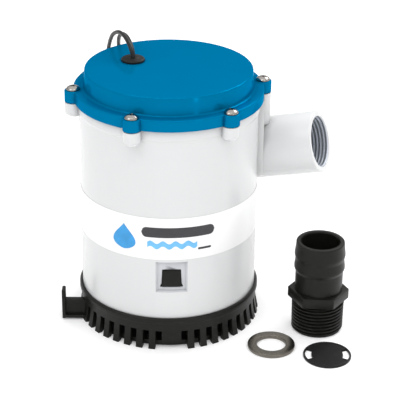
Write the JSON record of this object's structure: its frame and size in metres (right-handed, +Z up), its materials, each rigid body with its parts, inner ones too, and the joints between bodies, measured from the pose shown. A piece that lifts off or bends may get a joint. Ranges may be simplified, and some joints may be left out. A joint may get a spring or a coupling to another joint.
{
  "type": "bilge pump",
  "caption": "Submersible bilge pump: round white housing, blue screwed cover, snap-off strainer base, threaded outlet, with loose hose adapter, washer and check valve.",
  "frame": {"origin": "middle of the strainer base's underside, on the surface that the pump stands on", "axes": "+Z up along the pump's round axis, +X along the outlet as seen from above, +Y completes a right-handed frame"},
  "size_m": [0.2426, 0.165, 0.2301],
  "materials": {
    "housing_white": "glossy injection moulded white",
    "label_white": "printed white film",
    "cover_blue": "satin moulded blue",
    "base_black": "satin moulded black",
    "inner_grey": "moulded grey",
    "rubber_black": "moulded rubber",
    "cable_black": "satin cable jacket",
    "stainless": "stainless steel",
    "plated_steel": "zinc plated sheet steel",
    "lamination": "stacked electrical steel",
    "copper": "enamelled copper",
    "brass": "bright brass",
    "ferrite": "pressed ferrite",
    "carbon": "pressed carbon"
  },
  "bodies": {
    "strainer": {"strainer_base": "base_black"},
    "latch_front": {"strainer_latch_front": "base_black"},
    "latch_rear": {"strainer_latch_rear": "base_black"},
    "pump": {"brush_holder_a": "brass", "brush_holder_b": "brass", "brush_spring_a": "stainless", "brush_spring_b": "stainless", "cable_grommet": "rubber_black", "chamber_oring": "rubber_black", "cover_gasket": "rubber_black", "cover_screw_1": "stainless", "cover_screw_2": "stainless", "cover_screw_3": "stainless", "cover_screw_4": "stainless", "cover_screw_5": "stainless", "cover_screw_6": "stainless", "label_band": "label_white", "lower_bearing": "stainless", "magnet_a": "ferrite", "magnet_b": "ferrite", "motor_can": "plated_steel", "motor_chamber": "inner_grey", "motor_end_cap": "base_black", "motor_mount_screw_a": "stainless", "motor_mount_screw_b": "stainless", "power_wire_negative": "cable_black", "power_wire_positive": "cable_black", "pump_housing": "housing_white", "shaft_seal": "rubber_black", "through_bolt_a": "stainless", "through_bolt_b": "stainless", "top_cover": "cover_blue", "upper_bearing": "stainless", "volute_bowl": "inner_grey", "volute_screw_1": "stainless", "volute_screw_2": "stainless", "volute_screw_3": "stainless"},
    "rotor": {"armature_core": "lamination", "armature_windings": "copper", "commutator": "copper", "motor_shaft": "stainless", "impeller": "inner_grey", "impeller_nut": "brass"},
    "brush_a": {"brush_a": "carbon"},
    "brush_b": {"brush_b": "carbon"},
    "adapter": {"hose_adapter": "base_black"},
    "washer": {"outlet_washer": "stainless"},
    "valve": {"check_valve": "rubber_black"}
  },
  "joints": [
    {"name": "pump_lift_off", "type": "slide", "parent": "strainer", "child": "pump", "axis": [0, 0, 1], "range_m": [0, 0.08], "deforming": ["strainer_latch_front", "strainer_latch_rear"]},
    {"name": "latch_front_press", "type": "hinge", "parent": "strainer", "child": "latch_front", "pos_m": [0.02656, -0.06108, 0.009], "axis": [-0.9171, -0.3987, 0], "range_deg": [0, 4.3], "stiffness_Nm_per_rad": 1.2},
    {"name": "latch_rear_press", "type": "hinge", "parent": "strainer", "child": "latch_rear", "pos_m": [-0.02656, 0.06108, 0.009], "axis": [0.9171, 0.3987, 0], "range_deg": [0, 4.3], "stiffness_Nm_per_rad": 1.2},
    {"name": "rotor_spin", "type": "hinge", "parent": "pump", "child": "rotor", "pos_m": [0, 0, 0.1], "axis": [0, 0, 1], "continuous": true},
    {"name": "brush_a_slide", "type": "slide", "parent": "pump", "child": "brush_a", "axis": [0, 1, 0], "range_m": [0, 0.004], "stiffness_N_per_m": 250, "springref_m": -0.004, "deforming": ["brush_spring_a"]},
    {"name": "brush_b_slide", "type": "slide", "parent": "pump", "child": "brush_b", "axis": [0, -1, 0], "range_m": [0, 0.004], "stiffness_N_per_m": 250, "springref_m": -0.004, "deforming": ["brush_spring_b"]},
    {"name": "adapter_lift", "type": "slide", "parent": "strainer", "child": "adapter", "axis": [0, 0, 1], "range_m": [0, 0.05]},
    {"name": "washer_lift", "type": "slide", "parent": "strainer", "child": "washer", "axis": [0, 0, 1], "range_m": [0, 0.1]},
    {"name": "valve_lift", "type": "slide", "parent": "strainer", "child": "valve", "axis": [0, 0, 1], "range_m": [0, 0.1]}
  ]
}
